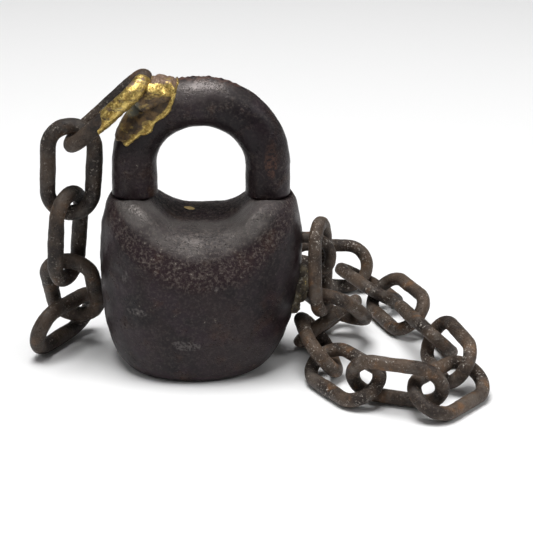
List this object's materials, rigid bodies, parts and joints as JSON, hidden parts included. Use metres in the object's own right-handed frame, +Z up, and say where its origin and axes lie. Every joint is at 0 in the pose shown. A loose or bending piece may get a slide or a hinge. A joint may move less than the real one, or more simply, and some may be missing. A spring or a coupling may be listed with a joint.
{
  "type": "padlock",
  "caption": "Forged iron padlock with a half-ring shackle, barbed tails, sliding notch bolt, and lengths of hand-welded chain brazed to its shackle and side.",
  "frame": {"origin": "middle of the lock on the plane its base rests on, in line with the shackle's legs", "axes": "+X to the right across both legs, +Y out of the back, +Z up along the shackle"},
  "size_m": [0.1897, 0.1482, 0.128],
  "materials": {
    "iron": "worn, dark brown, satin",
    "plate_steel": "dark, lightly rusted",
    "lock_steel": "dull, oily",
    "chain_rust": "rusty, worn bare on the high spots",
    "dark_rust": "dark brown rust",
    "brass": "rough, oxidised brown and green in places"
  },
  "bodies": {
    "lock": {"body": "iron", "back_plate": "plate_steel", "back_plate_rivets": "plate_steel", "ward_stays": "lock_steel", "bolt_spring": "lock_steel", "staple": "chain_rust", "braze_on_body": "brass", "ward_plate_1": "lock_steel", "ward_plate_2": "lock_steel", "ward_plate_3": "lock_steel", "ward_plate_4": "lock_steel", "ward_plate_5": "lock_steel"},
    "bolt": {"bolt": "lock_steel"},
    "shackle": {"shackle": "iron", "braze_on_shackle": "brass", "chain_left_01": "dark_rust"},
    "right_link_01": {"chain_right_01": "chain_rust"},
    "right_link_02": {"chain_right_02": "chain_rust"},
    "right_link_03": {"chain_right_03": "chain_rust"},
    "right_link_04": {"chain_right_04": "chain_rust"},
    "right_link_05": {"chain_right_05": "chain_rust"},
    "right_link_06": {"chain_right_06": "chain_rust"},
    "right_link_07": {"chain_right_07": "chain_rust"},
    "right_link_08": {"chain_right_08": "chain_rust"},
    "right_link_09": {"chain_right_09": "chain_rust"},
    "right_link_10": {"chain_right_10": "chain_rust"},
    "right_link_11": {"chain_right_11": "chain_rust"},
    "right_link_12": {"chain_right_12": "chain_rust"},
    "right_link_13": {"chain_right_13": "chain_rust"},
    "right_link_14": {"chain_right_14": "chain_rust"},
    "left_link_02": {"chain_left_02": "dark_rust"},
    "left_link_03": {"chain_left_03": "dark_rust"},
    "left_link_04": {"chain_left_04": "dark_rust"},
    "left_link_05": {"chain_left_05": "dark_rust"}
  },
  "joints": [
    {"name": "bolt_throw", "type": "slide", "parent": "lock", "child": "bolt", "axis": [1, 0, 0], "range_m": [0, 0.0042]},
    {"name": "shackle_lift", "type": "slide", "parent": "lock", "child": "shackle", "axis": [0, 0, 1], "range_m": [0, 0.014]},
    {"name": "right_swing_01", "type": "hinge", "parent": "lock", "child": "right_link_01", "pos_m": [0.0485, 0, 0.054], "axis": [1, 0, 0], "range_deg": [-1, 10]},
    {"name": "right_swing_02", "type": "hinge", "parent": "right_link_01", "child": "right_link_02", "pos_m": [0.04913, -0.00636, 0.02425], "axis": [-0.2606, -0.9455, 0.1954], "range_deg": [-6, 12]},
    {"name": "right_swing_03", "type": "hinge", "parent": "right_link_02", "child": "right_link_03", "pos_m": [0.06331, 0.0203, 0.00878], "axis": [-0.8829, 0.4695, 0], "range_deg": [-12, 6]},
    {"name": "right_swing_04", "type": "hinge", "parent": "right_link_03", "child": "right_link_04", "pos_m": [0.04338, -0.00089, 0.00995], "axis": [0.5997, -0.3747, 0.7071], "range_deg": [-12, 12]},
    {"name": "right_swing_05", "type": "hinge", "parent": "right_link_04", "child": "right_link_05", "pos_m": [0.05053, -0.02847, 0.0105], "axis": [0.6365, 0.0895, -0.766], "range_deg": [-12, 12]},
    {"name": "right_swing_06", "type": "hinge", "parent": "right_link_05", "child": "right_link_06", "pos_m": [0.06815, -0.04905, 0.008], "axis": [0.718, 0.4843, 0.5], "range_deg": [-12, 9]},
    {"name": "right_swing_07", "type": "hinge", "parent": "right_link_06", "child": "right_link_07", "pos_m": [0.09526, -0.05461, 0.01213], "axis": [0.1057, 0.3253, -0.9397], "range_deg": [-6, 12]},
    {"name": "right_swing_08", "type": "hinge", "parent": "right_link_07", "child": "right_link_08", "pos_m": [0.11114, -0.03251, 0.008], "axis": [-0.6436, 0.5795, 0.5], "range_deg": [-12, 12]},
    {"name": "right_swing_09", "type": "hinge", "parent": "right_link_08", "child": "right_link_09", "pos_m": [0.0963, -0.00247, 0.01144], "axis": [-0.483, -0.1294, -0.866], "range_deg": [-12, 12]},
    {"name": "right_swing_10", "type": "hinge", "parent": "right_link_09", "child": "right_link_10", "pos_m": [0.08779, 0.02305, 0.00995], "axis": [-0.6645, -0.2418, 0.7071], "range_deg": [-12, 12]},
    {"name": "right_swing_11", "type": "hinge", "parent": "right_link_10", "child": "right_link_11", "pos_m": [0.0772, 0.04983, 0.00995], "axis": [-0.6556, -0.2649, -0.7071], "range_deg": [-12, 12]},
    {"name": "right_swing_12", "type": "hinge", "parent": "right_link_11", "child": "right_link_12", "pos_m": [0.06476, 0.07467, 0.008], "axis": [-0.7716, -0.3932, 0.5], "range_deg": [-12, 12]},
    {"name": "right_swing_13", "type": "hinge", "parent": "right_link_12", "child": "right_link_13", "pos_m": [0.03642, 0.07308, 0.01238], "axis": [-0.0226, -0.2578, -0.9659], "range_deg": [-12, 12]},
    {"name": "right_swing_14", "type": "hinge", "parent": "right_link_13", "child": "right_link_14", "pos_m": [0.01137, 0.07255, 0.00995], "axis": [0.037, -0.7061, 0.7071], "range_deg": [-12, 12]},
    {"name": "left_swing_02", "type": "hinge", "parent": "shackle", "child": "left_link_02", "pos_m": [-0.05185, -0.001, 0.09495], "axis": [0, -1, 0], "range_deg": [-20, 0]},
    {"name": "left_swing_03", "type": "hinge", "parent": "left_link_02", "child": "left_link_03", "pos_m": [-0.05399, -0.001, 0.06524], "axis": [-0.9976, 0, 0.0698], "range_deg": [-8, 1]},
    {"name": "left_swing_04", "type": "hinge", "parent": "left_link_03", "child": "left_link_04", "pos_m": [-0.05661, -0.0012, 0.03647], "axis": [-0.421, -0.9063, 0.0368], "range_deg": [-12, 0]},
    {"name": "left_swing_05", "type": "hinge", "parent": "left_link_04", "child": "left_link_05", "pos_m": [-0.05449, 0.01672, 0.01228], "axis": [-0.9962, 0.0872, 0], "range_deg": [-10, 10]}
  ]
}
